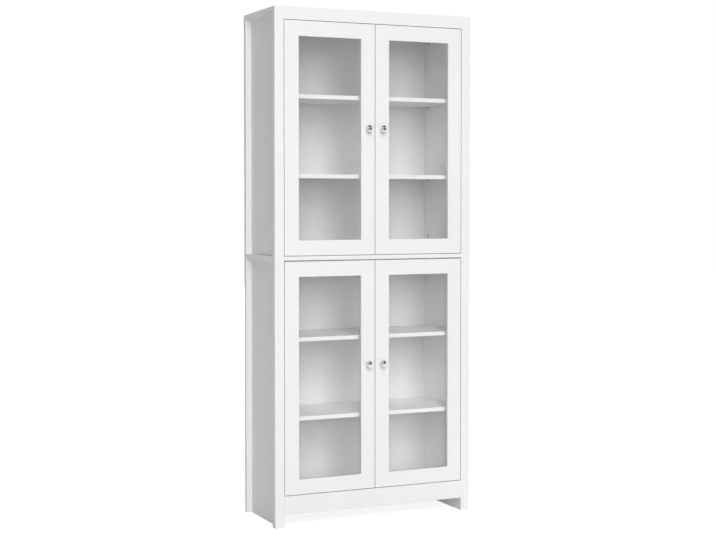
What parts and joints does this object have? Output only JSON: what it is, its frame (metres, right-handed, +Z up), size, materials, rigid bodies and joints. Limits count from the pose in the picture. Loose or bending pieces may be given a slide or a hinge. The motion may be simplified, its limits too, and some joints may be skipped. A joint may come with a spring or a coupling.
{
  "type": "bookcase with glass doors",
  "caption": "Tall white bookcase with framed glass doors above and below a middle board, loose shelves inside and round metal knobs.",
  "frame": {"origin": "centre of the footprint on the floor, knobs included", "axes": "+X to the right along the front, +Y from the doors to the back, +Z up"},
  "size_m": [0.8, 0.345, 1.89],
  "materials": {
    "painted_board": "satin white paint on board",
    "back_board": "matt white foil on thin board",
    "clear_glass": "clear float glass",
    "clip_plastic": "moulded translucent white",
    "polished_metal": "polished",
    "plated_steel": "nickel plated, satin",
    "screw_steel": "zinc plated",
    "zinc": "die-cast zinc",
    "dowel_wood": "bare beech"
  },
  "bodies": {
    "carcass": {"top_board": "painted_board", "middle_board": "painted_board", "bottom_board": "painted_board", "top_rail": "painted_board", "apron": "painted_board", "left_front_post": "painted_board", "right_front_post": "painted_board", "left_rear_post": "painted_board", "right_rear_post": "painted_board", "upper_left_side_panel": "painted_board", "upper_right_side_panel": "painted_board", "lower_left_side_panel": "painted_board", "lower_right_side_panel": "painted_board", "upper_section_high_shelf": "painted_board", "upper_section_low_shelf": "painted_board", "lower_section_high_shelf": "painted_board", "lower_section_low_shelf": "painted_board", "upper_back_panel": "back_board", "lower_back_panel": "back_board", "shelf_pins": "plated_steel", "hinge_arms": "plated_steel", "hinge_mounting_plates": "plated_steel", "hinge_plate_screws": "screw_steel", "cam_locks": "zinc", "cam_bolts": "screw_steel", "dowels": "dowel_wood"},
    "upper_left_door": {"upper_left_door_frame": "painted_board", "upper_left_glass_pane": "clear_glass", "upper_left_glass_clips": "clip_plastic", "upper_left_back_screws": "screw_steel", "upper_left_knob": "polished_metal", "upper_left_knob_screw": "screw_steel", "upper_left_hinge_cups": "plated_steel", "upper_left_hinge_pins": "screw_steel"},
    "upper_right_door": {"upper_right_door_frame": "painted_board", "upper_right_glass_pane": "clear_glass", "upper_right_glass_clips": "clip_plastic", "upper_right_back_screws": "screw_steel", "upper_right_knob": "polished_metal", "upper_right_knob_screw": "screw_steel", "upper_right_hinge_cups": "plated_steel", "upper_right_hinge_pins": "screw_steel"},
    "lower_left_door": {"lower_left_door_frame": "painted_board", "lower_left_glass_pane": "clear_glass", "lower_left_glass_clips": "clip_plastic", "lower_left_back_screws": "screw_steel", "lower_left_knob": "polished_metal", "lower_left_knob_screw": "screw_steel", "lower_left_hinge_cups": "plated_steel", "lower_left_hinge_pins": "screw_steel"},
    "lower_right_door": {"lower_right_door_frame": "painted_board", "lower_right_glass_pane": "clear_glass", "lower_right_glass_clips": "clip_plastic", "lower_right_back_screws": "screw_steel", "lower_right_knob": "polished_metal", "lower_right_knob_screw": "screw_steel", "lower_right_hinge_cups": "plated_steel", "lower_right_hinge_pins": "screw_steel"}
  },
  "joints": [
    {"name": "upper_left_door_hinge", "type": "hinge", "parent": "carcass", "child": "upper_left_door", "pos_m": [-0.35, -0.1403, 1.416], "axis": [0, 0, -1], "range_deg": [0, 100]},
    {"name": "upper_right_door_hinge", "type": "hinge", "parent": "carcass", "child": "upper_right_door", "pos_m": [0.35, -0.1403, 1.416], "axis": [0, 0, 1], "range_deg": [0, 100]},
    {"name": "lower_left_door_hinge", "type": "hinge", "parent": "carcass", "child": "lower_left_door", "pos_m": [-0.35, -0.1403, 0.543], "axis": [0, 0, -1], "range_deg": [0, 100]},
    {"name": "lower_right_door_hinge", "type": "hinge", "parent": "carcass", "child": "lower_right_door", "pos_m": [0.35, -0.1403, 0.543], "axis": [0, 0, 1], "range_deg": [0, 100]}
  ]
}
